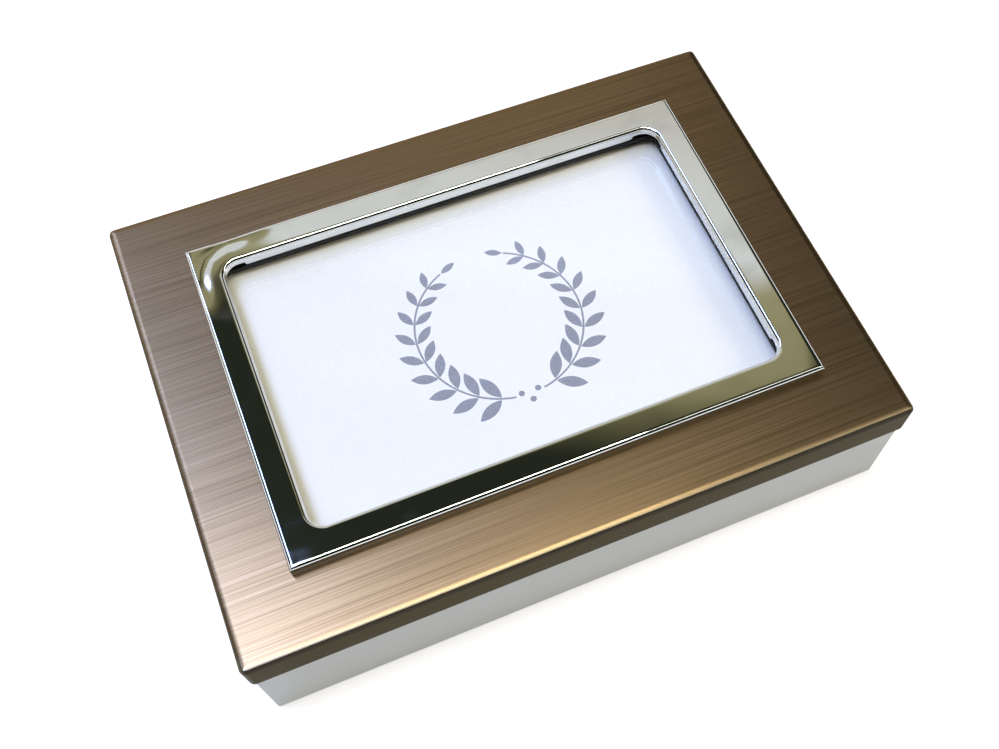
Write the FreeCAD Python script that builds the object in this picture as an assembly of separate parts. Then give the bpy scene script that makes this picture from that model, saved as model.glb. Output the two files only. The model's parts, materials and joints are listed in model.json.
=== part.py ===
import FreeCAD, Part
import math
import os

Vector = FreeCAD.Vector

# Keepsake box with a hinged lid that carries a picture behind glass.
# X runs along the long side, Y towards the hinges, Z up. The origin is under the
# middle of the box, on the surface that it stands on. Sizes are in millimetres.

# Lid cover: brushed sheet with its edges folded down
lid_length = 205.0
lid_depth = 152.0
cover_sheet = 0.8
cover_fold_radius = 1.4
cover_corner_radius = 2.0
cover_glue_gap = 0.2
cover_setback = 1.0

# Lid wood: a board with a window and a rebate under it, on four mitred rails
board_thickness = 5.5
rebate_land = 1.9
rail_height = 5.7

# Picture frame: pressed from sheet, hollow, with flaps turned down round its opening
frame_margin_ends = 20.7
frame_margin_sides = 20.7
frame_height = 5.0
frame_border = 7.75
frame_sheet = 0.7
frame_edge_radius = 1.2
lip_radius = 1.3
lip_depth = 2.4
aperture_corner_radius = 5.0
flap_depth = 3.7
flap_relief = 2.0
flap_end_radius = 1.0
window_clearance = 0.3
window_corner_radius = 3.0
foam_width = 4.5
foam_end_gap = 12.0

# Picture: pane, card and backing board, which lie in the board's rebate and the lining frame
pane_thickness = 2.0
pane_bearing_ends = 3.25
pane_bearing_sides = 3.95
card_thickness = 0.4
backing_thickness = 6.2
pane_clearance = 0.4
lining_frame_clearance = 0.2

# Turn buttons that hold the backing board, each on its own screw
button_thickness = 0.8
button_width = 6.0
button_nose = 9.5
button_tail = 3.5
button_setback = 5.0
button_play = 0.1
button_screw_radius = 1.0
button_screw_length = 4.0
button_head_radius = 2.0
button_head_height = 0.8
button_head_round = 0.5

# Box body: four mitred walls, a bottom panel in a rebate, felt underneath
wall_thickness = 10.0
wall_height = 34.0
wall_corner_radius = 1.0
wall_foot_radius = 0.6
bottom_thickness = 3.0
bottom_rebate = 5.0
bottom_clearance = 0.15
felt_thickness = 1.0
felt_inset = 2.0
felt_corner_radius = 2.0

# Lining boards inside the box
lining_thickness = 1.5
lining_drop = 1.5
lining_clearance = 0.2
floor_thickness = 2.0

# Hinges: leaves let into the wood, knuckles in a groove along the back
lid_opening = 95.0
bevel_play = 0.5
hinge_inset = 39.5
hinge_length = 28.0
hinge_setback = 3.0
leaf_thickness = 0.8
leaf_margin = 1.0
leaf_gap = 0.1
knuckle_radius = 1.6
knuckle_gap = 0.2
knuckle_clearance = 0.25
pin_radius = 0.8
pin_clearance = 0.05
mortise_clearance = 0.15
hinge_screw_radius = 0.8
hinge_screw_length = 8.0
hinge_screw_head_radius = 1.5
hinge_screw_spacing = 17.0
screw_clearance = 0.05
screw_sink = 0.05

# Cross recess in every screw head
recess_width = 0.4
recess_length = 1.7
recess_depth = 0.35

# Levels and spans that follow from the sizes above
overhang = cover_sheet + cover_glue_gap
box_length = lid_length - 2 * overhang
box_depth = lid_depth - 2 * overhang
inner_length = box_length - 2 * wall_thickness
inner_depth = box_depth - 2 * wall_thickness
foot_z = felt_thickness
rim_z = foot_z + wall_height
board_z = rim_z + rail_height
cover_z = board_z + board_thickness
lid_top_z = cover_z + cover_sheet
frame_top_z = lid_top_z + frame_height
frame_length = lid_length - 2 * frame_margin_ends
frame_depth = lid_depth - 2 * frame_margin_sides
aperture_length = frame_length - 2 * (frame_border + lip_radius)
aperture_depth = frame_depth - 2 * (frame_border + lip_radius)
window_length = aperture_length + 2 * (frame_sheet + window_clearance)
window_depth = aperture_depth + 2 * (frame_sheet + window_clearance)
pane_length = window_length + 2 * pane_bearing_ends
pane_depth = window_depth + 2 * pane_bearing_sides
pane_top_z = cover_z - rebate_land
card_z = pane_top_z - pane_thickness - card_thickness
backing_z = card_z - backing_thickness
button_z = backing_z - button_play - button_thickness
hinge_axis_y = box_depth / 2 - hinge_setback
leaf_width = wall_thickness - hinge_setback - leaf_margin
knuckle_length = (hinge_length - 2 * knuckle_gap) / 3
hinge_screw_y = hinge_axis_y - (knuckle_radius + leaf_width) / 2
base_leaf_top_z = rim_z - leaf_gap / 2
lid_leaf_low_z = rim_z + leaf_gap / 2

spare = 1.0        # how far a cutting shape runs past what it cuts
tolerance = 1e-4
sides = ("front", "back", "left", "right")
hinge_sides = {"left": hinge_inset - box_length / 2, "right": box_length / 2 - hinge_inset}


def block(low, high):
    size = Vector(*high) - Vector(*low)
    return Part.makeBox(size.x, size.y, size.z, Vector(*low))


def centred_block(length, depth, low_z, high_z):
    return block((-length / 2, -depth / 2, low_z), (length / 2, depth / 2, high_z))


def upright_edges(shape):
    return [e for e in shape.Edges
            if e.BoundBox.XLength < tolerance and e.BoundBox.YLength < tolerance]


def level_edges(shape, z):
    return [e for e in shape.Edges
            if e.BoundBox.ZLength < tolerance and abs(e.BoundBox.ZMin - z) < tolerance]


def rounded_block(length, depth, low_z, high_z, corner_radius):
    solid = centred_block(length, depth, low_z, high_z)
    return solid.makeFillet(corner_radius, upright_edges(solid))


def mitred_side(side, low_z, high_z):
    """One side of a mitred frame as long, deep and thick as the box walls."""
    x, y = box_length / 2, box_depth / 2
    corners = {"front": (-1, -1, 1, -1), "right": (1, -1, 1, 1),
               "back": (1, 1, -1, 1), "left": (-1, 1, -1, -1)}
    ax, ay, bx, by = corners[side]
    inner_x, inner_y = x - wall_thickness, y - wall_thickness
    outline = [Vector(ax * x, ay * y, low_z), Vector(bx * x, by * y, low_z),
               Vector(bx * inner_x, by * inner_y, low_z), Vector(ax * inner_x, ay * inner_y, low_z)]
    face = Part.Face(Part.makePolygon(outline + outline[:1]))
    return face.extrude(Vector(0, 0, high_z - low_z))


def along_x(radius, start_x, length):
    """A cylinder on the hinge axis."""
    return Part.makeCylinder(radius, length, Vector(start_x, hinge_axis_y, rim_z), Vector(1, 0, 0))


def bevel_space(up):
    """Space behind the hinge axis between the bevel and the level below it, or above it.

    The bevels of lid and wall meet when the lid is open, and so stop it.
    """
    reach = lid_depth / 2 - hinge_axis_y + spare
    rise = up * reach * math.tan(math.radians(lid_opening / 2 + bevel_play))
    start_x = -lid_length / 2 - spare
    outline = [Vector(start_x, hinge_axis_y, rim_z),
               Vector(start_x, hinge_axis_y + reach, rim_z + rise),
               Vector(start_x, hinge_axis_y + reach, rim_z - up * spare),
               Vector(start_x, hinge_axis_y, rim_z - up * spare)]
    face = Part.Face(Part.makePolygon(outline + outline[:1]))
    return face.extrude(Vector(lid_length + 2 * spare, 0, 0))


def cross_recess(centre, into):
    """Two crossed slots sunk into a screw head, along the direction into."""
    half, width = recess_length / 2, recess_width / 2
    depth_end = centre.z + into * recess_depth
    low_z, high_z = min(centre.z - into * spare, depth_end), max(centre.z - into * spare, depth_end)
    one = block((centre.x - half, centre.y - width, low_z), (centre.x + half, centre.y + width, high_z))
    other = block((centre.x - width, centre.y - half, low_z), (centre.x + width, centre.y + half, high_z))
    return one.fuse(other)


def countersunk_screw(centre, into, clearance=0.0):
    """A hinge screw whose flat head lies at centre; into is +1 for up, -1 for down."""
    axis = Vector(0, 0, into)
    shank_radius = hinge_screw_radius + clearance
    head_radius = hinge_screw_head_radius + clearance
    head = Part.makeCone(head_radius, shank_radius, head_radius - shank_radius, centre, axis)
    shank = Part.makeCylinder(shank_radius, hinge_screw_length + clearance, centre, axis)
    return head.fuse(shank).removeSplitter()


def base_screw_points(hinge_x):
    z = base_leaf_top_z - screw_sink
    return [Vector(hinge_x + s * hinge_screw_spacing / 2, hinge_screw_y, z) for s in (-1, 1)]


def lid_screw_points(hinge_x):
    z = lid_leaf_low_z + screw_sink
    return [Vector(hinge_x + s * hinge_screw_spacing / 2, hinge_screw_y, z) for s in (-1, 1)]


def screw_hole(centre, into):
    """What a hinge screw needs clear: its own shape, and its head's width out to the surface."""
    sink = Part.makeCylinder(hinge_screw_head_radius + screw_clearance, screw_sink + spare,
                             centre, Vector(0, 0, -into))
    return countersunk_screw(centre, into, screw_clearance).fuse(sink)


def leaf_outline(hinge_x, low_z, clearance):
    """The flat plate of a leaf, from its front edge to the hinge axis."""
    half = hinge_length / 2 + clearance
    return block((hinge_x - half, hinge_axis_y - leaf_width - clearance, low_z),
                 (hinge_x + half, hinge_axis_y, low_z + leaf_thickness))


def knuckle_starts(hinge_x):
    step = knuckle_length + knuckle_gap
    return [hinge_x - hinge_length / 2 + i * step for i in range(3)]


def hinge_leaf(hinge_x, low_z, own, into, screw_points):
    """A leaf with its own knuckles, cut back round the other leaf's knuckles."""
    leaf = leaf_outline(hinge_x, low_z, 0.0)
    starts = knuckle_starts(hinge_x)
    for i, start in enumerate(starts):
        if i in own:
            leaf = leaf.fuse(along_x(knuckle_radius, start, knuckle_length))
        else:
            leaf = leaf.cut(along_x(knuckle_radius + knuckle_clearance, start - knuckle_gap,
                                    knuckle_length + 2 * knuckle_gap))
    leaf = leaf.cut(along_x(pin_radius + pin_clearance, starts[0] - spare, hinge_length + 2 * spare))
    for point in screw_points:
        leaf = leaf.cut(screw_hole(point, into))
    return leaf.removeSplitter()


def hinge_mortise(hinge_x, low_z, high_z):
    """What the wood leaves clear for one hinge leaf and the knuckles."""
    half = hinge_length / 2 + mortise_clearance
    pocket = block((hinge_x - half, hinge_axis_y - leaf_width - mortise_clearance, low_z),
                   (hinge_x + half, hinge_axis_y + spare, high_z))
    groove = along_x(knuckle_radius + knuckle_clearance, hinge_x - half, 2 * half)
    return pocket.fuse(groove)


def box_walls():
    envelope = rounded_block(box_length, box_depth, foot_z, rim_z, wall_corner_radius)
    envelope = envelope.makeFillet(wall_foot_radius, level_edges(envelope, foot_z))
    rebate = centred_block(inner_length + 2 * bottom_rebate, inner_depth + 2 * bottom_rebate,
                           foot_z - spare, foot_z + bottom_thickness)
    walls = {}
    for side in sides:
        wall = mitred_side(side, foot_z, rim_z).common(envelope).cut(rebate).cut(bevel_space(-1))
        walls[side] = wall
    for hinge_x in hinge_sides.values():
        back = walls["back"].cut(hinge_mortise(hinge_x, base_leaf_top_z - leaf_thickness, rim_z + spare))
        for point in base_screw_points(hinge_x):
            back = back.cut(screw_hole(point, -1))
        walls["back"] = back
    return walls


def lid_wood():
    """The board and its rails, with the hinge screws' holes through both."""
    board = rounded_block(box_length, box_depth, board_z, cover_z, wall_corner_radius)
    edge_radius = min(cover_fold_radius - cover_sheet + cover_glue_gap, wall_corner_radius * 0.9)
    board = board.makeFillet(edge_radius, level_edges(board, cover_z))
    board = board.cut(window_space()).cut(pane_space(board_z - spare, pane_top_z))
    envelope = rounded_block(box_length, box_depth, rim_z, board_z, wall_corner_radius)
    rails = {}
    for side in sides:
        rails[side] = mitred_side(side, rim_z, board_z).common(envelope).cut(bevel_space(1))
    board = board.cut(bevel_space(1))
    for hinge_x in hinge_sides.values():
        back = rails["back"].cut(hinge_mortise(hinge_x, rim_z - spare, lid_leaf_low_z + leaf_thickness))
        for point in lid_screw_points(hinge_x):
            hole = screw_hole(point, 1)
            back = back.cut(hole)
            board = board.cut(hole)
        rails["back"] = back
    return board, rails


def window_space(setback=0.0):
    """The window under the frame's opening; the cover's is set back from the board's."""
    return rounded_block(window_length + 2 * setback, window_depth + 2 * setback,
                         board_z - spare, lid_top_z + spare, window_corner_radius + setback)


def pane_space(low_z, high_z):
    """The room in the lid for the pane, the card and their backing."""
    return centred_block(pane_length + 2 * pane_clearance, pane_depth + 2 * pane_clearance, low_z, high_z)


def lid_cover():
    fold_radius = min(cover_fold_radius, cover_corner_radius * 0.9)
    outside = rounded_block(lid_length, lid_depth, rim_z, lid_top_z, cover_corner_radius)
    outside = outside.makeFillet(fold_radius, level_edges(outside, lid_top_z))
    inside = rounded_block(lid_length - 2 * cover_sheet, lid_depth - 2 * cover_sheet,
                           rim_z - spare, cover_z, cover_corner_radius - cover_sheet)
    inside = inside.makeFillet(fold_radius - cover_sheet, level_edges(inside, cover_z))
    return outside.cut(inside).cut(window_space(cover_setback)).cut(bevel_space(1))


def edged_block(length, depth, low_z, high_z, edge_radius):
    """A block with square corners and rounded top edges that meet in mitres."""
    solid = centred_block(length, depth, low_z, high_z)
    return solid.makeFillet(edge_radius, level_edges(solid, high_z))


def frame_flaps():
    """Four straight flaps below the lip, which stop short of the rounded corners."""
    low_z, high_z = frame_top_z - flap_depth, frame_top_z - lip_depth
    half_x = aperture_length / 2 - aperture_corner_radius - flap_relief
    half_y = aperture_depth / 2 - aperture_corner_radius - flap_relief
    flaps = []
    for way in (-1, 1):
        near_y, far_y = sorted((way * aperture_depth / 2, way * (aperture_depth / 2 + frame_sheet)))
        long_flap = block((-half_x, near_y, low_z), (half_x, far_y, high_z))
        ends = [e for e in level_edges(long_flap, low_z) if e.BoundBox.XLength < tolerance]
        flaps.append(long_flap.makeFillet(flap_end_radius, ends))
        near_x, far_x = sorted((way * aperture_length / 2, way * (aperture_length / 2 + frame_sheet)))
        short_flap = block((near_x, -half_y, low_z), (far_x, half_y, high_z))
        ends = [e for e in level_edges(short_flap, low_z) if e.BoundBox.YLength < tolerance]
        flaps.append(short_flap.makeFillet(flap_end_radius, ends))
    return flaps


def picture_frame():
    outside = edged_block(frame_length, frame_depth, lid_top_z, frame_top_z, frame_edge_radius)
    hollow = edged_block(frame_length - 2 * frame_sheet, frame_depth - 2 * frame_sheet,
                         lid_top_z - spare, frame_top_z - frame_sheet, frame_edge_radius - frame_sheet)
    lip = rounded_block(aperture_length + 2 * frame_sheet, aperture_depth + 2 * frame_sheet,
                        frame_top_z - lip_depth, frame_top_z, aperture_corner_radius + frame_sheet)
    opening = rounded_block(aperture_length, aperture_depth, lid_top_z - flap_depth,
                            frame_top_z + spare, aperture_corner_radius)
    shell = outside.cut(hollow).fuse([lip] + frame_flaps()).cut(opening).removeSplitter()
    lip_edges = [e for e in level_edges(shell, frame_top_z)
                 if abs(e.CenterOfMass.x) < aperture_length / 2 + tolerance
                 and abs(e.CenterOfMass.y) < aperture_depth / 2 + tolerance]
    return shell.makeFillet(lip_radius, lip_edges)


def foam_strips():
    """Foam that fills the hollow border of the frame and sticks it to the cover."""
    middle_x = (aperture_length + frame_length) / 4
    middle_y = (aperture_depth + frame_depth) / 4
    low_z, high_z = lid_top_z, frame_top_z - frame_sheet
    half_x = aperture_length / 2 - foam_end_gap
    half_y = aperture_depth / 2 - foam_end_gap
    half_width = foam_width / 2
    strips = []
    for way in (-1, 1):
        strips.append(block((-half_x, way * middle_y - half_width, low_z),
                            (half_x, way * middle_y + half_width, high_z)))
        strips.append(block((way * middle_x - half_width, -half_y, low_z),
                            (way * middle_x + half_width, half_y, high_z)))
    return strips


def button_pivots():
    """Pivot of each turn button, and the direction that its nose points at rest."""
    pivot_x = pane_length / 2 + pane_clearance + button_setback
    pivot_y = pane_depth / 2 + pane_clearance + button_setback
    return {"front": (Vector(0, -pivot_y, 0), 90.0), "back": (Vector(0, pivot_y, 0), 270.0),
            "left": (Vector(-pivot_x, 0, 0), 0.0), "right": (Vector(pivot_x, 0, 0), 180.0)}


def turn_button(pivot, heading):
    """A flat tongue with round ends, made along +X about its pivot and turned into place."""
    radius = button_width / 2
    nose_x, tail_x = button_nose - radius, radius - button_tail
    low = Vector(0, 0, button_z)
    plate = block((tail_x, -radius, button_z), (nose_x, radius, button_z + button_thickness))
    for end_x in (nose_x, tail_x):
        plate = plate.fuse(Part.makeCylinder(radius, button_thickness, low + Vector(end_x, 0, 0)))
    plate = plate.cut(Part.makeCylinder(button_screw_radius + screw_clearance, button_thickness, low))
    plate = plate.removeSplitter()
    plate.rotate(Vector(0, 0, 0), Vector(0, 0, 1), heading)
    plate.translate(pivot)
    return plate


def button_screw(pivot):
    """A round-headed screw up through a turn button into the lining frame."""
    head_low_z = button_z - button_play - button_head_height
    head = Part.makeCylinder(button_head_radius, button_head_height, Vector(pivot.x, pivot.y, head_low_z))
    head = head.makeFillet(button_head_round, level_edges(head, head_low_z))
    shank_length = backing_z + button_screw_length - head_low_z - button_head_height
    shank = Part.makeCylinder(button_screw_radius, shank_length,
                              Vector(pivot.x, pivot.y, head_low_z + button_head_height))
    recess = cross_recess(Vector(pivot.x, pivot.y, head_low_z), 1)
    return head.fuse(shank).cut(recess)


def lining_frame():
    """A velvet-covered board frame between the lid rails, round the picture's pane and backing."""
    solid = centred_block(inner_length - 2 * lining_frame_clearance,
                          inner_depth - 2 * lining_frame_clearance, backing_z, board_z)
    solid = solid.cut(pane_space(backing_z - spare, board_z + spare))
    for pivot, heading in button_pivots().values():
        hole = Part.makeCylinder(button_screw_radius + screw_clearance, button_screw_length + spare,
                                 Vector(pivot.x, pivot.y, backing_z - spare))
        solid = solid.cut(hole)
    return solid


def box_linings():
    low_z, high_z = foot_z + bottom_thickness, rim_z - lining_drop
    half_x, half_y = inner_length / 2, inner_depth / 2
    end_x = half_x - lining_clearance
    end_y = half_y - lining_thickness - lining_clearance
    linings = {
        "front_lining": block((-end_x, -half_y, low_z), (end_x, lining_thickness - half_y, high_z)),
        "back_lining": block((-end_x, half_y - lining_thickness, low_z), (end_x, half_y, high_z)),
        "left_lining": block((-half_x, -end_y, low_z), (lining_thickness - half_x, end_y, high_z)),
        "right_lining": block((half_x - lining_thickness, -end_y, low_z), (half_x, end_y, high_z)),
    }
    edge = 2 * (lining_thickness + lining_clearance)
    linings["floor_lining"] = centred_block(inner_length - edge, inner_depth - edge,
                                            low_z, low_z + floor_thickness)
    return linings


def all_pieces():
    pieces = {}
    for side, wall in box_walls().items():
        pieces[side + "_wall"] = wall
    panel_edge = 2 * (bottom_rebate - bottom_clearance)
    pieces["bottom_panel"] = centred_block(inner_length + panel_edge, inner_depth + panel_edge,
                                           foot_z, foot_z + bottom_thickness)
    pieces["base_felt"] = rounded_block(box_length - 2 * felt_inset, box_depth - 2 * felt_inset,
                                        0, felt_thickness, felt_corner_radius)
    pieces.update(box_linings())

    board, rails = lid_wood()
    pieces["lid_board"] = board
    for side, rail in rails.items():
        pieces["lid_" + side + "_rail"] = rail
    pieces["lid_cover"] = lid_cover()
    pieces["picture_frame"] = picture_frame()
    pieces["frame_foam_strips"] = Part.makeCompound(foam_strips())

    pieces["glass_pane"] = centred_block(pane_length, pane_depth, card_z + card_thickness, pane_top_z)
    pieces["picture_card"] = centred_block(pane_length, pane_depth, card_z, card_z + card_thickness)
    pieces["backing_board"] = centred_block(pane_length, pane_depth, backing_z, card_z)
    pieces["lid_lining_frame"] = lining_frame()
    button_screws = []
    for side, (pivot, heading) in button_pivots().items():
        pieces["turn_button_" + side] = turn_button(pivot, heading)
        button_screws.append(button_screw(pivot))
    pieces["turn_button_screws"] = Part.makeCompound(button_screws)

    base_screws = []
    lid_screws = []
    for side, hinge_x in hinge_sides.items():
        base_points = base_screw_points(hinge_x)
        lid_points = lid_screw_points(hinge_x)
        pieces["hinge_base_leaf_" + side] = hinge_leaf(hinge_x, base_leaf_top_z - leaf_thickness,
                                                       (0, 2), -1, base_points)
        pieces["hinge_lid_leaf_" + side] = hinge_leaf(hinge_x, lid_leaf_low_z, (1,), 1, lid_points)
        pieces["hinge_pin_" + side] = along_x(pin_radius, hinge_x - hinge_length / 2, hinge_length)
        base_screws += [countersunk_screw(p, -1).cut(cross_recess(p, -1)) for p in base_points]
        lid_screws += [countersunk_screw(p, 1).cut(cross_recess(p, 1)) for p in lid_points]
    pieces["base_hinge_screws"] = Part.makeCompound(base_screws)
    pieces["lid_hinge_screws"] = Part.makeCompound(lid_screws)
    return pieces


os.makedirs("parts", exist_ok=True)
for node, shape in all_pieces().items():
    shape.exportStep("parts/" + node + ".step")
    print(node, len(shape.Solids), round(shape.Volume, 2), shape.isValid())
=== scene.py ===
import json
import math

import bmesh
import bpy
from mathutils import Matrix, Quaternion, Vector


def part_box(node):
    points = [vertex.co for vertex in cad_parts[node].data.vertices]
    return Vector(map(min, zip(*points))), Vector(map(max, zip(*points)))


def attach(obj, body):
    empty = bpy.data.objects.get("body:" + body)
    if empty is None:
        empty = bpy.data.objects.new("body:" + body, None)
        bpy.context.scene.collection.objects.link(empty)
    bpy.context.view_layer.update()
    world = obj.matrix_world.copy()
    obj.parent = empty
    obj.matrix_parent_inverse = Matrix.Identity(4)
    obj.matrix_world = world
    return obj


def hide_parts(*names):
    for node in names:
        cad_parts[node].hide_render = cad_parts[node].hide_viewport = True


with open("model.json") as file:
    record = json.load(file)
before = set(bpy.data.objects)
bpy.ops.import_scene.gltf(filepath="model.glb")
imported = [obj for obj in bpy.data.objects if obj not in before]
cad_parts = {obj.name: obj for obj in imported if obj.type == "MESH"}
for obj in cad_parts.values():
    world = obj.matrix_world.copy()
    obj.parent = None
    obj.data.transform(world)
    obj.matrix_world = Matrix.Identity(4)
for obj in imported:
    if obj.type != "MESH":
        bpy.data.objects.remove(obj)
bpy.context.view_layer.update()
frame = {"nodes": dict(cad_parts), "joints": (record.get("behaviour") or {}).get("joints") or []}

# Box walls: four sides of fibreboard, mitred and glued at the corners and then sprayed
# together with satin white lacquer, so no joint shows. The spray dries with a very fine
# orange peel and is a little duller in places. Its colours are written as a light grey, below white
# lacquer: painted shade for the front wall's shade.
mm = 0.001


class Value:
    """A shader socket that works in Python expressions: each operation adds a Math node."""

    def __init__(self, finish, socket):
        self.finish = finish
        self.socket = socket

    def math(self, operation, *terms):
        return self.finish.node("Math", {"operation": operation}, dict(enumerate(terms)))

    def __add__(self, other):
        return self.math("ADD", self, other)

    __radd__ = __add__

    def __sub__(self, other):
        return self.math("SUBTRACT", self, other)

    def __rsub__(self, other):
        return self.math("SUBTRACT", other, self)

    def __mul__(self, other):
        return self.math("MULTIPLY", self, other)

    __rmul__ = __mul__

    def at_least(self, low):
        return self.math("MAXIMUM", self, low)

    def above(self, low, high):
        """0 below low, 1 above high, and a smooth rise between them."""
        return self.finish.node("MapRange", {"interpolation_type": "SMOOTHSTEP"},
                                {"Value": self, "From Min": low, "From Max": high})


class Finish:
    """A node tree that is filled with nodes, each with its settings and then its sockets."""

    def __init__(self, tree):
        self.tree = tree
        self.tree.nodes.clear()

    def node(self, kind, settings=None, sockets=None, output=0):
        node = self.tree.nodes.new("ShaderNode" + kind)
        for name, setting in (settings or {}).items():
            if name == "stops":
                ramp = node.color_ramp.elements
                while len(ramp) < len(setting):
                    ramp.new(1.0)
                for stop, (position, colour) in zip(ramp, setting):
                    stop.position = position
                    stop.color = (*colour, 1.0)
            else:
                setattr(node, name, setting)
        for name, value in (sockets or {}).items():
            socket = node.inputs[name]
            if isinstance(value, Value):
                self.tree.links.new(value.socket, socket)
            else:
                socket.default_value = (*value, 1.0) if socket.type == "RGBA" else value
        return Value(self, node.outputs[output] if node.outputs else None)

    def place(self, grain, turn=0.0, source=None):
        """Object coordinates, or a UV map, measured in grains of this size and turned about Z."""
        source = source or self.node("TexCoord", output="Object")
        turned = self.node("Mapping", {}, {"Vector": source, "Rotation": (0.0, 0.0, turn)})
        return self.node("Mapping", {}, {"Vector": turned, "Scale": tuple(1 / size for size in grain)})

    def noise(self, grain, turn=0.0, source=None, detail=2.0, roughness=0.5):
        return self.node("TexNoise", {}, {"Vector": self.place(grain, turn, source), "Scale": 1.0,
                                          "Detail": detail, "Roughness": roughness})

    def colours(self, share, low, high):
        """A colour between two, by a share from 0 to 1."""
        return self.node("Mix", {"data_type": "RGBA"}, {0: share, 6: low, 7: high}, output=2)

    def bump(self, height, depth):
        """A normal for a surface that rises by depth, in metres, where height goes from 0 to 1."""
        return self.node("Bump", {}, {"Height": height, "Distance": depth})

    def surface(self, sockets):
        self.node("OutputMaterial", {}, {"Surface": self.node("BsdfPrincipled", {}, sockets)})


def new_finish(name):
    material = bpy.data.materials.new(name)
    material.use_nodes = True
    return material, Finish(material.node_tree)


def dress(material, *nodes):
    """Give a finish to CAD nodes that stay as they are."""
    for node in nodes:
        for slot in frame["nodes"][node].material_slots:
            slot.material = material


sides = ("front", "back", "left", "right")
# Painted shade: both lacquer colours are greyed below white lacquer, for the shade on the front wall.
lacquer_grey_painted_shade = (0.625, 0.65, 0.59)
lacquer_dull_painted_shade = (0.595, 0.62, 0.56)

white_lacquer, finish = new_finish("white_lacquer")
cloud = finish.noise((30 * mm, 30 * mm, 30 * mm), detail=4.0)
peel = finish.noise((0.7 * mm, 0.7 * mm, 0.7 * mm), detail=1.0)
finish.surface({
    "Base Color": finish.colours(cloud.above(0.35, 0.65), lacquer_dull_painted_shade, lacquer_grey_painted_shade),
    "Roughness": 0.36 + 0.12 * cloud,
    "Normal": finish.bump(peel, 0.006 * mm),
    "Coat Weight": 0.15,
    "Coat Roughness": 0.25})
dress(white_lacquer, *(side + "_wall" for side in sides))

# Bottom panel: thin brown hardboard in a rebate under the walls. It is left bare, with
# short pressed fibres that lie in all directions.
board_dark = (0.16, 0.095, 0.052)
board_light = (0.30, 0.19, 0.11)

bare_board, finish = new_finish("bare_hardboard")
fibre = finish.noise((1.2 * mm, 0.35 * mm, 0.5 * mm), turn=0.4, detail=4.0)
crossing = finish.noise((0.4 * mm, 1.4 * mm, 0.5 * mm), detail=4.0)
pressed = 0.5 * fibre + 0.5 * crossing
finish.surface({
    "Base Color": finish.colours(pressed.above(0.35, 0.65), board_dark, board_light),
    "Roughness": 0.62 + 0.25 * pressed,
    "Normal": finish.bump(pressed, 0.06 * mm)})
dress(bare_board, "bottom_panel")

# Base felt: one sheet of charcoal wool felt glued under the bottom, cut a little smaller than
# the box, so that the box doesn't scratch what it stands on.
felt_pale = (0.095, 0.094, 0.098)
felt_deep = (0.045, 0.045, 0.048)
felt_corner = 2 * mm


def block(low, high):
    """A bmesh box between two corners."""
    bm = bmesh.new()
    bmesh.ops.create_cube(bm, size=1.0)
    bmesh.ops.scale(bm, vec=high - low, verts=bm.verts)
    bmesh.ops.translate(bm, vec=(low + high) / 2, verts=bm.verts)
    return bm


def round_over(bm, geom, radius, segments, affect="EDGES"):
    bmesh.ops.bevel(bm, geom=geom, offset=radius, offset_type="OFFSET", segments=segments, profile=0.5,
                    affect=affect, clamp_overlap=True, material=-1)


def upright_edges(bm):
    return [e for e in bm.edges if abs(e.verts[0].co.z - e.verts[1].co.z) > 0.99 * e.calc_length()]


def add_piece(name, bm, material, body, slot, *nodes):
    """Turn a bmesh into a piece that rides on a body and stands for these CAD nodes."""
    crease = math.radians(35.0)
    for face in bm.faces:
        face.smooth = True
    for edge in bm.edges:
        edge.smooth = edge.calc_face_angle(math.pi) < crease
    mesh = bpy.data.meshes.new(name)
    bm.to_mesh(mesh)
    bm.free()
    mesh.materials.append(material)
    piece = bpy.data.objects.new(name, mesh)
    bpy.context.scene.collection.objects.link(piece)
    piece.modifiers.new("even_normals", "WEIGHTED_NORMAL").keep_sharp = True
    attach(piece, body)
    if nodes:
        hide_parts(*nodes)
    return piece


wool_felt, finish = new_finish("wool_felt")
tuft = finish.noise((1.6 * mm, 1.6 * mm, 1.6 * mm), detail=5.0, roughness=0.7)
hair = finish.noise((0.12 * mm, 0.7 * mm, 0.2 * mm), turn=0.7, detail=3.0)
matted = 0.55 * tuft + 0.45 * hair
finish.surface({
    "Base Color": finish.colours(matted.above(0.35, 0.65), felt_deep, felt_pale),
    "Roughness": 0.86 + 0.1 * hair,
    "Normal": finish.bump(matted, 0.25 * mm),
    "Sheen Weight": 0.35,
    "Sheen Roughness": 0.6})

felt_low, felt_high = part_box("base_felt")
bm = block(felt_low, felt_high)
round_over(bm, upright_edges(bm), felt_corner, segments=5)
felt = add_piece("felt_sheet", bm, wool_felt, "box", "base_felt", "base_felt")

# Linings of the compartment: thin boards wrapped in ivory velvet and glued to the walls and
# the bottom. The wrapped edges are round, and the short pile lies in soft patches.
velvet_pale = (0.79, 0.72, 0.59)
velvet_deep = (0.65, 0.58, 0.46)
wrapped_edge = 0.6 * mm

ivory_velvet, finish = new_finish("ivory_velvet")
stroked = finish.noise((26 * mm, 17 * mm, 20 * mm), turn=0.5, detail=3.0)
pile = finish.noise((0.28 * mm, 0.28 * mm, 0.28 * mm), detail=3.0, roughness=0.65)
nap = 0.45 * stroked + 0.55 * pile
finish.surface({
    "Base Color": finish.colours(nap.above(0.34, 0.66), velvet_deep, velvet_pale),
    "Roughness": 0.8 + 0.15 * pile,
    "Normal": finish.bump(pile, 0.12 * mm),
    "Sheen Weight": 0.5,
    "Sheen Roughness": 0.4})


def wrapped_board(name, body, node):
    bm = block(*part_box(node))
    round_over(bm, bm.edges[:], wrapped_edge, segments=4)
    add_piece(name, bm, ivory_velvet, body, "ivory_velvet", node)


for side in (*sides, "floor"):
    wrapped_board("velvet_" + side, "box", side + "_lining")

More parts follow.
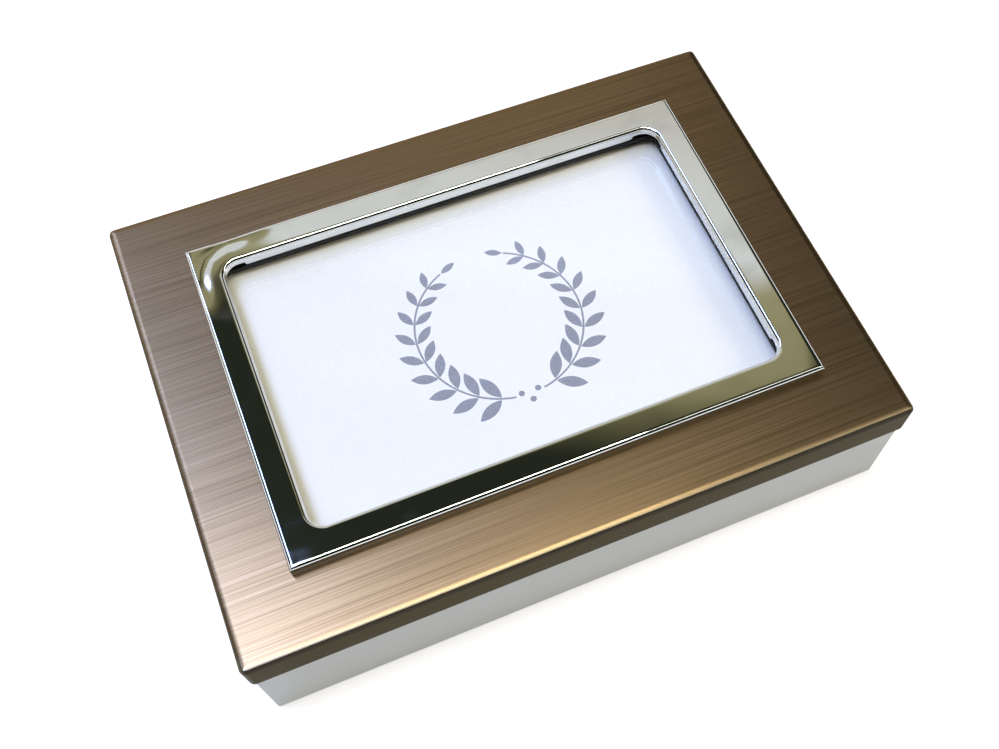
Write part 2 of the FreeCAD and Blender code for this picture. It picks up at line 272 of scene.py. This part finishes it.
# Lid wood: a board with a window, coloured nearly black, which shows as the dark band under the
# frame's flaps, on four mitred rails that are lacquered like the walls.
board_near_black = (0.009, 0.010, 0.011)
board_near_black_patch = (0.020, 0.021, 0.024)

black_board, finish = new_finish("near_black_board")
sawn = finish.noise((1.5 * mm, 1.5 * mm, 0.3 * mm), detail=4.0)
finish.surface({
    "Base Color": finish.colours(sawn.above(0.4, 0.7), board_near_black, board_near_black_patch),
    "Roughness": 0.55 + 0.25 * sawn,
    "Normal": finish.bump(sawn, 0.05 * mm)})
dress(black_board, "lid_board")
dress(white_lacquer, *("lid_" + side + "_rail" for side in sides))

# Lid cover: one sheet with a brushed bronze finish, cut out for the window and folded down on
# all four sides, which are painted dark as painted shade. It rolls off gently before each fold, and
# is painted pale along the front fold as a painted highlight. The brush strokes run along the lid.
cover_sheet = 0.8 * mm
cover_fold = 0.9 * mm
cover_corner = 2.0 * mm
roll_width = 1.8 * mm
roll_drop = 0.22 * mm
roll_steps = 6
highlight_reach = 3.0 * mm
cut_share = 0.6
bright_share = 0.4
window_rim = 2.25 * mm, 2.95 * mm
hinge_bevel = math.radians(48.0)
bronze_deep = (0.216, 0.140, 0.067)
bronze_pale = (0.268, 0.176, 0.086)
bronze_cut = (0.125, 0.079, 0.040)
bronze_bright = (0.37, 0.25, 0.145)
bronze_painted_highlight = (0.30, 0.24, 0.15)
bronze_painted_shade = (0.042, 0.036, 0.028)
bronze_grazed = (0.55, 0.53, 0.47)

cover_low, cover_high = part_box("lid_cover")
brushed_bronze, finish = new_finish("brushed_bronze")
unfolded = finish.node("UVMap", {"uv_map": "unfolded"})
hairline = finish.noise((30 * mm, 0.11 * mm, 1.0), source=unfolded)
scratch = finish.noise((90 * mm, 0.20 * mm, 1.0), source=unfolded)
score = finish.noise((130 * mm, 0.26 * mm, 1.0), source=unfolded, detail=1.0)
stroke = 0.5 * hairline + 0.5 * scratch
fine = finish.colours(stroke.above(0.36, 0.64), bronze_deep, bronze_pale)
lined = finish.colours(cut_share * score.above(0.58, 0.62), fine, bronze_cut)
brushed = finish.colours(bright_share * (1 - score).above(0.59, 0.63), lined, bronze_bright)
here = finish.node("TexCoord", output="Object")
sunk = cover_high.z - finish.node("SeparateXYZ", {}, {0: here}, output="Z")
to_front = finish.node("SeparateXYZ", {}, {0: here}, output="Y") - cover_low.y
# Painted highlight: a pale band where the sheet rolls off toward the front fold.
painted_highlight_band = sunk.above(0.2 * roll_drop, roll_drop) * (1 - to_front.above(highlight_reach, 2 * highlight_reach))
brushed_with_highlight = finish.colours(painted_highlight_band, brushed, bronze_painted_highlight)
# Painted shade: a dark colour on the folded sides and wherever the sheet lies well below its top.
painted_shade_on_folds = sunk.above(0.35 * cover_fold, 0.75 * cover_fold)
finish.surface({
    "Base Color": finish.colours(painted_shade_on_folds, brushed_with_highlight, bronze_painted_shade),
    "Metallic": 1.0,
    "Roughness": 0.255 + 0.09 * stroke,
    "Specular Tint": bronze_grazed,
    "Normal": finish.bump(hairline + 0.7 * scratch, 0.007 * mm)})


def cut_plane(bm, point, normal, clear_outer=False):
    bmesh.ops.bisect_plane(bm, geom=bm.verts[:] + bm.edges[:] + bm.faces[:], dist=1e-7, plane_co=point,
                           plane_no=normal, clear_outer=clear_outer)


def cut_across(bm, axis, place):
    """Score the mesh along a plane across X or Y."""
    normal = Vector((1.0, 0.0, 0.0)) if axis == 0 else Vector((0.0, 1.0, 0.0))
    cut_plane(bm, normal * place, normal)


pane_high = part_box("glass_pane")[1]
window_half = Vector((pane_high.x - window_rim[0], pane_high.y - window_rim[1]))
hinge_point = Vector(frame["joints"][0]["pos_m"])

bm = block(cover_low, cover_high)
bmesh.ops.delete(bm, geom=[f for f in bm.faces if f.normal.z < -0.5], context="FACES_ONLY")
round_over(bm, upright_edges(bm), cover_corner, segments=8)
top = max(bm.faces, key=lambda face: face.normal.z)
round_over(bm, top.edges[:], cover_fold, segments=8)
for axis in (0, 1):
    for way in (-1, 1):
        cut_across(bm, axis, way * window_half[axis])
bm.normal_update()
for step in range(roll_steps):
    for axis in (0, 1):
        for way in (-1, 1):
            cut_across(bm, axis, way * (cover_high[axis] - cover_fold - step * roll_width / roll_steps))
for vert in [v for v in bm.verts if v.co.z > cover_low.z + cover_fold]:
    inset = min(cover_high[axis] - cover_fold - abs(vert.co[axis]) for axis in (0, 1))
    vert.co.z -= roll_drop * max(0.0, 1 - inset / roll_width) ** 2
window = [f for f in bm.faces if f.normal.z > 0.99
          and all(abs(f.calc_center_median()[axis]) < window_half[axis] for axis in (0, 1))]
bmesh.ops.delete(bm, geom=window, context="FACES")
cut_plane(bm, hinge_point, (0.0, math.sin(hinge_bevel), -math.cos(hinge_bevel)), clear_outer=True)
bmesh.ops.solidify(bm, geom=bm.faces[:], thickness=cover_sheet)
unfolding = bm.loops.layers.uv.new("unfolded")
for face in bm.faces:
    over_end = abs(face.normal.x) > 0.7
    over_side = abs(face.normal.y) > 0.7
    for loop in face.loops:
        spot = loop.vert.co
        drop = cover_high.z - spot.z
        loop[unfolding].uv = (spot.x + math.copysign(drop, spot.x) * over_end,
                              spot.y + math.copysign(drop, spot.y) * over_side)
add_piece("bronze_cover", bm, brushed_bronze, "lid", "brushed_bronze", "lid_cover")

# Picture frame: pressed from thin sheet, chromed to a mirror and stuck on the cover. Its lip
# rolls into the opening, and a flap is turned down along each side. The press has drawn the
# metal in at one corner of the opening, so the mirror has a curved dent there.
frame_sheet = 0.7 * mm
frame_edge = 1.2 * mm
frame_border = 9.05 * mm
lip_round = 1.3 * mm
lip_depth = 2.4 * mm
opening_corner = 5.0 * mm
flap_depth = 3.7 * mm
flap_relief = 2.0 * mm
flap_corner = 1.0 * mm
corner_steps = 16
border_steps = 12
dent_cuts = 6
dent_depth = 0.42 * mm
dent_ring = 12.4 * mm
dent_width = 2.8 * mm
dent_fade = 6.5 * mm
dent_cut = 2.5 * mm
chrome_bright = (0.83, 0.835, 0.82)
chrome_hazed = (0.76, 0.765, 0.75)

polished_chrome, finish = new_finish("polished_chrome")
smear = finish.noise((14 * mm, 9 * mm, 9 * mm), detail=4.0)
speck = finish.noise((0.5 * mm, 0.5 * mm, 0.5 * mm))
ripple = finish.noise((22 * mm, 22 * mm, 22 * mm), detail=1.0)
finish.surface({
    "Base Color": finish.colours(smear.above(0.45, 0.7), chrome_bright, chrome_hazed),
    "Metallic": 1.0,
    "Roughness": 0.03 + 0.05 * smear.above(0.5, 0.75) + 0.02 * speck,
    "Normal": finish.bump(ripple, 0.05 * mm)})

frame_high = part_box("picture_frame")[1]
frame_top = frame_high.z
opening_half = Vector((frame_high.x - frame_border, frame_high.y - frame_border))
corner_centre = opening_half - Vector((opening_corner, opening_corner))
flap_half = corner_centre - Vector((flap_relief, flap_relief))
lip_foot = frame_top - lip_depth
flap_foot = frame_top - flap_depth


def from_corner(spot):
    """The centre of the opening corner nearest to a point, and the point as seen from there."""
    centre = Vector((math.copysign(corner_centre.x, spot.x),
                     math.copysign(corner_centre.y, spot.y), spot.z))
    return centre, spot - centre


def drawn_out(bm, edges, rise):
    """Extrude edges straight up or down and return the new edges."""
    made = bmesh.ops.extrude_edge_only(bm, edges=edges)["geom"]
    ends = {v for v in made if isinstance(v, bmesh.types.BMVert)}
    bmesh.ops.translate(bm, vec=(0.0, 0.0, rise), verts=list(ends))
    return [e for e in made if isinstance(e, bmesh.types.BMEdge) and ends.issuperset(e.verts)]


bm = bmesh.new()
bmesh.ops.create_grid(bm, x_segments=1, y_segments=1, size=1.0)
bmesh.ops.scale(bm, vec=(opening_half.x, opening_half.y, 1.0), verts=bm.verts)
bmesh.ops.translate(bm, vec=(0.0, 0.0, frame_top), verts=bm.verts)
round_over(bm, bm.verts[:], opening_corner, corner_steps, affect="VERTICES")
inner_edges = bm.edges[:]
opening = bm.faces[:]
outer_edges = drawn_out(bm, inner_edges, 0.0)
for vert in {v for e in outer_edges for v in e.verts}:
    centre, away = from_corner(vert.co)
    vert.co = centre + away * ((frame_border + opening_corner) / max(abs(away.x), abs(away.y)))
bmesh.ops.delete(bm, geom=opening, context="FACES_ONLY")
drawn_out(bm, outer_edges, cover_high.z - frame_top)
drawn_out(bm, inner_edges, -lip_depth)
bmesh.ops.recalc_face_normals(bm, faces=bm.faces[:])
if max(bm.faces, key=lambda face: abs(face.normal.z)).normal.z < 0:
    bmesh.ops.reverse_faces(bm, faces=bm.faces[:])
round_over(bm, outer_edges, frame_edge, segments=8)
round_over(bm, inner_edges, lip_round, segments=10)

bm.normal_update()
spokes = [e for e in bm.edges
          if len(e.link_faces) == 2 and all(f.normal.z > 0.9999 for f in e.link_faces)]
bmesh.ops.subdivide_edges(bm, edges=spokes, cuts=border_steps, use_grid_fill=True)
for step in range(dent_cuts):
    for axis in (0, 1):
        for way in (-1, 1):
            cut_across(bm, axis, way * (flap_half[axis] - step * dent_cut))
for vert in [v for v in bm.verts if v.co.x < 0 < v.co.y]:
    away = from_corner(vert.co)[1]
    ring = math.hypot(min(0.0, away.x), max(0.0, away.y))
    past_corner = max(0.0, away.x, -away.y)
    fall = ((ring - dent_ring) / dent_width) ** 2 + (past_corner / dent_fade) ** 2
    vert.co.z -= dent_depth * math.exp(-fall)

near = 0.01 * mm
flap_roots = [e for e in bm.edges
              if e.is_boundary and all(abs(v.co.z - lip_foot) < near for v in e.verts)
              and any(all(abs(v.co[axis]) < flap_half[axis] + near for v in e.verts)
                      for axis in (0, 1))]
drawn_out(bm, flap_roots, flap_foot - lip_foot)
flap_ends = [v for v in bm.verts if abs(v.co.z - flap_foot) < near and len(v.link_edges) == 2]
round_over(bm, flap_ends, flap_corner, segments=5, affect="VERTICES")
bmesh.ops.solidify(bm, geom=bm.faces[:], thickness=frame_sheet)
add_piece("chrome_frame", bm, polished_chrome, "lid", "polished_chrome", "picture_frame")

# Foam strips: four strips of dense white foam tape in the hollow of the frame, which stick it
# to the cover.
strip_width = 4.5 * mm
strip_end_gap = 12 * mm
strip_round = 0.5 * mm
foam_pale = (0.72, 0.72, 0.70)
foam_pore = (0.48, 0.48, 0.47)

foam_tape, finish = new_finish("foam_tape")
cell = finish.node("TexVoronoi", {}, {"Vector": finish.place((0.35 * mm, 0.35 * mm, 0.35 * mm)),
                                      "Scale": 1.0})
finish.surface({
    "Base Color": finish.colours(cell, foam_pale, foam_pore),
    "Roughness": 0.85 + 0.1 * cell,
    "Normal": finish.bump(cell, -0.1 * mm)})

strips = bmesh.new()
for axis in (0, 1):
    for way in (-1, 1):
        spot, size = Vector(), Vector()
        spot[1 - axis] = way * (opening_half[1 - axis] + frame_border / 2)
        spot.z = (cover_high.z + frame_top - frame_sheet) / 2
        size[axis] = 2 * (opening_half[axis] - strip_end_gap)
        size[1 - axis] = strip_width
        size.z = frame_top - frame_sheet - cover_high.z
        strip = bmesh.ops.create_cube(strips, size=1.0)["verts"]
        bmesh.ops.scale(strips, vec=size, verts=strip)
        bmesh.ops.translate(strips, vec=spot, verts=strip)
round_over(strips, strips.edges[:], strip_round, segments=3)
foam = add_piece("foam_strips", strips, foam_tape, "lid", "foam", "frame_foam_strips")

# Glass pane: clear float glass with ground edges, which lies behind the window. Its faces
# are polished, with the faintest haze where it was wiped.
pane_ground = 0.25 * mm
glass_tint = (0.985, 0.995, 0.99)
lamp_tint = (0.96, 0.97, 0.965)

clear_glass, finish = new_finish("clear_glass")
wiped = finish.noise((40 * mm, 6 * mm, 20 * mm), turn=0.6, detail=3.0)
polished = finish.node("BsdfPrincipled", {}, {
    "Base Color": glass_tint,
    "Roughness": 0.012 * wiped.above(0.5, 0.8),
    "IOR": 1.5,
    "Transmission Weight": 1.0})
let_through = finish.node("BsdfTransparent", {}, {"Color": lamp_tint})
shadow_ray = finish.node("LightPath", output="Is Shadow Ray")
diffuse_ray = finish.node("LightPath", output="Is Diffuse Ray")
finish.node("OutputMaterial", {}, {
    "Surface": finish.node("MixShader", {}, {0: shadow_ray + diffuse_ray, 1: polished,
                                              2: let_through})})

bm = block(*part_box("glass_pane"))
round_over(bm, bm.edges[:], pane_ground, segments=2)
add_piece("glass_sheet", bm, clear_glass, "lid", "clear_glass", "glass_pane")

# Picture card: smooth white card, which lies loose behind the glass, printed in matt grey ink
# with a plain wreath of leaves and berries. Leaves and berries have more coats than the stems.
glass_gap = 0.1 * mm
card_corner = 0.4 * mm
card_white = (0.87, 0.82, 0.745)
card_grey = (0.835, 0.785, 0.71)
ink_grey = (0.215, 0.215, 0.25)
ink_thin = (0.29, 0.29, 0.325)

picture_paper, finish = new_finish("picture_paper")
pulp = finish.noise((0.9 * mm, 0.5 * mm, 0.5 * mm), detail=4.0)
finish.surface({
    "Base Color": finish.colours(pulp.above(0.35, 0.6), card_grey, card_white),
    "Roughness": 0.55 + 0.2 * pulp,
    "Normal": finish.bump(pulp, 0.008 * mm)})

card_low, card_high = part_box("picture_card")
card_face = card_high.z - glass_gap
bm = block(card_low, Vector((card_high.x, card_high.y, card_face)))
round_over(bm, upright_edges(bm), card_corner, segments=3)
add_piece("card_sheet", bm, picture_paper, "lid", "picture_paper", "picture_card")

printed_ink, finish = new_finish("printed_ink")
coverage = finish.noise((0.5 * mm, 0.5 * mm, 0.5 * mm), detail=3.0)
finish.surface({
    "Base Color": finish.colours(coverage.above(0.4, 0.75), ink_grey, ink_thin),
    "Roughness": 0.5 + 0.15 * coverage})

wreath_radius = 26 * mm
wreath_start = math.radians(-80.0)
wreath_turn = math.radians(146.0)
leaf_pairs = 9
leaf_length = 9.5 * mm
leaf_width = 3.7 * mm
leaf_lean = math.radians(46.0)
leaf_taper = 0.4
leaf_reach = 0.56
leaf_points = 22
first_leaf = 0.06
berry_radius = 0.95 * mm
berry_points = 18
berry_places = (-96.0, 25.2), (-84.0, 25.2), (-90.0, 28.0)
stem_width = 0.6 * mm
stem_steps = 48
ink_coat = 0.012 * mm


def ink_up(bm, faces, coats):
    """Give flat shapes the thickness of some coats of ink."""
    made = bmesh.ops.extrude_face_region(bm, geom=faces)["geom"]
    raised = [v for v in made if isinstance(v, bmesh.types.BMVert)]
    bmesh.ops.translate(bm, vec=(0.0, 0.0, coats * ink_coat), verts=raised)


def put(bm, verts, angle, heading, radius):
    """Turn a flat shape to a heading and set it at an angle and radius of the wreath."""
    bmesh.ops.rotate(bm, verts=verts, matrix=Quaternion((0.0, 0.0, 1.0), heading).to_matrix())
    place = radius * math.cos(angle), radius * math.sin(angle), card_face
    bmesh.ops.translate(bm, verts=verts, vec=place)


ink = bmesh.new()
for way in (-1, 1):
    ends = [ink.verts.new(((wreath_radius + s * stem_width / 2) * math.cos(wreath_start) * way,
                           (wreath_radius + s * stem_width / 2) * math.sin(wreath_start), card_face))
            for s in (-1, 1)]
    root = ink.edges.new(ends)
    before = set(ink.faces)
    bmesh.ops.spin(ink, geom=[*ends, root], cent=(0.0, 0.0, card_face), axis=(0.0, 0.0, 1.0),
                   dvec=(0, 0, 0), angle=way * wreath_turn, steps=stem_steps, use_merge=False)
    ink_up(ink, [f for f in ink.faces if f not in before], coats=1)
    for pair in range(leaf_pairs + 1):
        share = pair / leaf_pairs
        turn = wreath_start + wreath_turn * (first_leaf + (1 - first_leaf) * share)
        angle = turn if way > 0 else math.pi - turn
        tangent = angle + way * math.pi / 2
        size = 1 - leaf_taper * share
        leans = (0.0,) if pair == leaf_pairs else (-leaf_lean, leaf_lean)
        for lean in leans:
            leaf = bmesh.ops.create_circle(ink, cap_ends=True, radius=0.5, segments=leaf_points)["verts"]
            for vert in leaf:
                vert.co.y *= math.sqrt(max(0.0, 1 - (2 * vert.co.x) ** 2))
            bmesh.ops.scale(ink, vec=(leaf_length * size, leaf_width * size, 1.0), verts=leaf)
            bmesh.ops.translate(ink, vec=(leaf_reach * leaf_length * size, 0.0, 0.0), verts=leaf)
            put(ink, leaf, angle, tangent + lean, wreath_radius)
            ink_up(ink, list({f for v in leaf for f in v.link_faces}), coats=2)
for angle, radius in berry_places:
    berry = bmesh.ops.create_circle(ink, cap_ends=True, radius=berry_radius, segments=berry_points)["verts"]
    put(ink, berry, math.radians(angle), 0.0, radius * mm)
    ink_up(ink, list({f for v in berry for f in v.link_faces}), coats=3)
bmesh.ops.remove_doubles(ink, verts=ink.verts[:], dist=1e-7)
bmesh.ops.recalc_face_normals(ink, faces=ink.faces[:])
add_piece("card_print", ink, printed_ink, "lid", "picture_paper")

# Backing board: a thin board wrapped in the same velvet, which presses card and glass up
# against the window from inside the lid.
wrapped_board("velvet_backing", "lid", "backing_board")

# Lining frame: a velvet-covered frame that fills the lid between its rails, with an opening
# that takes the glass, the card and their backing.
pane_room = 0.4 * mm

bm = bmesh.new()
bmesh.ops.create_grid(bm, x_segments=3, y_segments=3, size=1.0)
lining_low, lining_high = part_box("lid_lining_frame")
for vert in bm.verts:
    for axis in (0, 1):
        edge = lining_high[axis] if abs(vert.co[axis]) > 0.5 else pane_high[axis] + pane_room
        vert.co[axis] = math.copysign(edge, vert.co[axis])
    vert.co.z = lining_low.z
bmesh.ops.delete(bm, geom=[min(bm.faces, key=lambda face: face.calc_center_median().xy.length)],
                 context="FACES_ONLY")
made = bmesh.ops.extrude_face_region(bm, geom=bm.faces[:])["geom"]
bmesh.ops.translate(bm, vec=(0.0, 0.0, lining_high.z - lining_low.z),
                    verts=[v for v in made if isinstance(v, bmesh.types.BMVert)])
bmesh.ops.recalc_face_normals(bm, faces=bm.faces[:])
bm.normal_update()
round_over(bm, [e for e in bm.edges if e.calc_face_angle(0.0) > 1.0], wrapped_edge, segments=4)
add_piece("velvet_lid_frame", bm, ivory_velvet, "lid", "ivory_velvet", "lid_lining_frame")

# Hinges, turn buttons and their screws: stamped and turned from brass, tumbled and left
# bright, with faint tarnish in patches. The buttons turn aside to let the picture out.
brass_bright = (0.80, 0.60, 0.30)
brass_dull = (0.56, 0.38, 0.16)

tumbled_brass, finish = new_finish("tumbled_brass")
tarnish = finish.noise((3.5 * mm, 3.5 * mm, 3.5 * mm), detail=4.0)
rubbed = finish.noise((0.9 * mm, 0.12 * mm, 0.2 * mm), turn=0.3)
finish.surface({
    "Base Color": finish.colours(tarnish.above(0.42, 0.72), brass_bright, brass_dull),
    "Metallic": 1.0,
    "Roughness": 0.2 + 0.2 * tarnish + 0.06 * rubbed,
    "Normal": finish.bump(rubbed, 0.006 * mm)})
dress(tumbled_brass, "turn_button_screws", "base_hinge_screws", "lid_hinge_screws",
      *("turn_button_" + side for side in sides),
      *(part + side for part in ("hinge_base_leaf_", "hinge_lid_leaf_", "hinge_pin_")
        for side in ("left", "right")))

# Stage: a plain pale floor, two soft lamps overhead and a warm fill at the right. The metal shows
# light walls behind the box, a tall window at its left, a strip of light at its right and the
# white backdrop low down all round. The camera looks down from the front left.
floor_size = 6.0
floor_colour = (0.62, 0.585, 0.545)
floor_glow = 0.64
glow_range = 0.3, 0.9
window_light = (7.8, 11.2, 24.0)
window_inner = 0.10, 0.15
window_outer = 0.20, 0.28
window_slant = 0.37
slant_start = 0.3
window_foot = -0.2, 0.0
window_dim = 0.45
window_dim_range = 0.35, 0.60
window_end = 0.66, 0.80
low_light = (0.57, 0.55, 0.50)
low_range = 0.15, 0.40
backdrop_white = (1.0, 1.0, 1.0)
strip_light = (3.0, 3.0, 2.7)
strip_side = 0.20, 0.30
strip_front = -0.16, -0.11
strip_back = -0.03, 0.02
wall_lift = 0.05
right_lean = 0.45
right_dim = 0.85
right_dim_range = 0.39, 0.46
left_drop = 0.118
left_drop_range = -0.01, 0.05
left_rise = 0.12
left_rise_range = 0.14, 0.24
wall_stops = [(0.50, (0.018, 0.022, 0.013)), (0.535, (0.14, 0.13, 0.065)), (0.555, (0.28, 0.26, 0.14)),
              (0.63, (0.34, 0.32, 0.18)), (0.655, (0.72, 0.75, 0.75)), (0.685, (0.68, 0.70, 0.67)),
              (0.72, (0.70, 0.71, 0.69)), (0.80, (0.54, 0.52, 0.45))]
down = 0.0, 0.0, -1.0
to_box = -0.80, 0.22, -0.68
# Each lamp has its place, the way it faces, its width and reach, its power and its colour, and
# then whether metal mirrors it.
lamps = {
    "cool_lamp": ((-0.27, 0.075, 0.80), down, (0.28, 0.25), 2.3, (0.58, 0.66, 0.92), True),
    "soft_lamp": ((0.03, -0.03, 0.80), down, (0.38, 0.14), 2.3, (0.97, 0.97, 0.84), True),
    "fill_lamp": ((0.80, -0.22, 0.68), to_box, (0.40, 0.40), 3.6, (1.0, 0.91, 0.77), False)}
camera_spot = Vector((-57.3, -167.7, 340.3)) * mm
camera_aim = Vector((0.1861, 0.3980, -0.8983))
camera_up = Vector((0.3409, 0.8314, 0.4389))
camera_lens = 40.31
camera_shift = -0.0579, 0.0415


def seen(finish):
    """1 for rays from the camera and rays that metal or glass sends on, and else 0."""
    rays = (finish.node("LightPath", output="Is " + kind + " Ray")
            for kind in ("Camera", "Glossy", "Transmission"))
    return sum(rays).above(0.0, 1.0)


floor_paint, finish = new_finish("pale_floor")
distance = finish.node("VectorMath", {"operation": "LENGTH"},
                       {0: finish.node("TexCoord", output="Object")}, output="Value")
far_glow = floor_glow + (1 - floor_glow) * distance.above(*glow_range)
glow = finish.node("Emission", {}, {"Strength": far_glow * seen(finish)})
matt = finish.node("BsdfDiffuse", {}, {"Color": floor_colour})
finish.node("OutputMaterial", {}, {"Surface": finish.node("AddShader", {}, {0: glow, 1: matt})})
bm = bmesh.new()
bmesh.ops.create_grid(bm, x_segments=1, y_segments=1, size=floor_size / 2)
floor_mesh = bpy.data.meshes.new("floor")
bm.to_mesh(floor_mesh)
bm.free()
floor_mesh.materials.append(floor_paint)
floor = bpy.data.objects.new("floor", floor_mesh)
bpy.context.scene.collection.objects.link(floor)

world = bpy.data.worlds.new("studio")
world.use_nodes = True
bpy.context.scene.world = world
finish = Finish(world.node_tree)
heading = finish.node("TexCoord", output="Generated")
across = finish.node("SeparateXYZ", {}, {0: heading}, output="X")
back = finish.node("SeparateXYZ", {}, {0: heading}, output="Y")
up = finish.node("SeparateXYZ", {}, {0: heading}, output="Z")
left = -1 * across
behind = (back + right_lean * across.at_least(0.0) + wall_lift
          - left_drop * left.above(*left_drop_range) + left_rise * left.above(*left_rise_range))
far_right = 1 - right_dim * across.above(*right_dim_range)
walls = finish.node("ValToRGB", {"stops": wall_stops}, {0: behind * far_right})
slant = left - window_slant * (back - slant_start).at_least(0.0)
upright = back.above(*window_foot) * (1 - window_dim * back.above(*window_dim_range)
                                      - (1 - window_dim) * back.above(*window_end))
daylight = slant.above(*window_inner) * (1 - slant.above(*window_outer)) * upright
strip = across.above(*strip_side) * back.above(*strip_front) * (1 - back.above(*strip_back))
upper = finish.colours(strip, finish.colours(daylight, walls, window_light), strip_light)
backdrop = finish.colours(seen(finish), low_light, backdrop_white)
room = finish.colours(up.above(*low_range), backdrop, upper)
finish.node("OutputWorld", {}, {"Surface": finish.node("Background", {}, {"Color": room})})

for name, (spot, facing, (width, reach), power, colour, mirrored) in lamps.items():
    lamp = bpy.data.objects.new(name, bpy.data.lights.new(name, "AREA"))
    lamp.data.shape = "RECTANGLE"
    lamp.data.size, lamp.data.size_y = width, reach
    lamp.data.energy = power
    lamp.data.color = colour
    lamp.location = spot
    lamp.rotation_mode = "QUATERNION"
    lamp.rotation_quaternion = Vector(facing).to_track_quat("-Z", "Y")
    lamp.visible_camera = False
    lamp.visible_glossy = mirrored
    bpy.context.scene.collection.objects.link(lamp)

camera = bpy.data.objects.new("camera", bpy.data.cameras.new("camera"))
camera.location = camera_spot
level = camera_aim.to_track_quat("-Z", "Y")
roll = (level.inverted() @ camera_up).xy.angle_signed(Vector((0.0, 1.0)))
camera.rotation_mode = "QUATERNION"
camera.rotation_quaternion = level @ Quaternion((0.0, 0.0, 1.0), roll)
camera.data.sensor_width = 36.0
camera.data.lens = camera_lens
camera.data.shift_x, camera.data.shift_y = camera_shift
camera.data.clip_start = 0.01
bpy.context.scene.collection.objects.link(camera)
bpy.context.scene.camera = camera
bpy.context.scene.view_settings.view_transform = "Standard"
